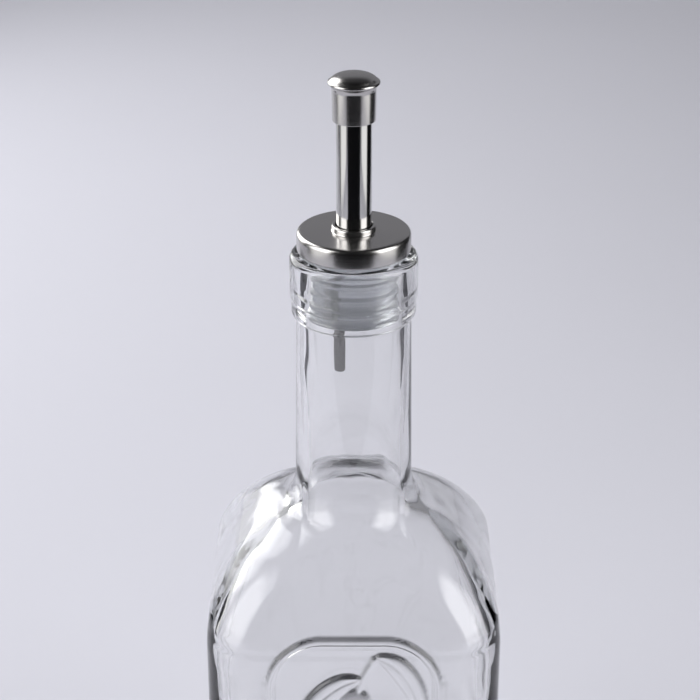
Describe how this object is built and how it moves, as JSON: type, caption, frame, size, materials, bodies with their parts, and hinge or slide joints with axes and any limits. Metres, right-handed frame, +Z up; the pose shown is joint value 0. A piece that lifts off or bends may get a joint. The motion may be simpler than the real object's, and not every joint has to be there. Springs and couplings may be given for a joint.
{
  "type": "oil cruet",
  "caption": "Square clear glass oil cruet with a round neck, a moulded olive sprig panel, and a steel pouring spout with a cap, set in a ribbed stopper.",
  "frame": {"origin": "middle of the base, on the surface that the cruet stands on", "axes": "+Z up along the neck, -Y out of the moulded panel"},
  "size_m": [0.0732, 0.0747, 0.2452],
  "materials": {
    "clear_glass": "clear moulded soda glass, glossy inside and out",
    "clear_plastic": "translucent soft plastic, slightly frosted",
    "satin_steel": "stainless steel turned to a satin finish",
    "polished_steel": "stainless steel polished bright"
  },
  "bodies": {
    "root": {"bottle": "clear_glass", "stopper": "clear_plastic", "pourer_flange": "satin_steel", "spout": "polished_steel", "spout_cap": "satin_steel", "vent_tube": "polished_steel"}
  },
  "joints": []
}
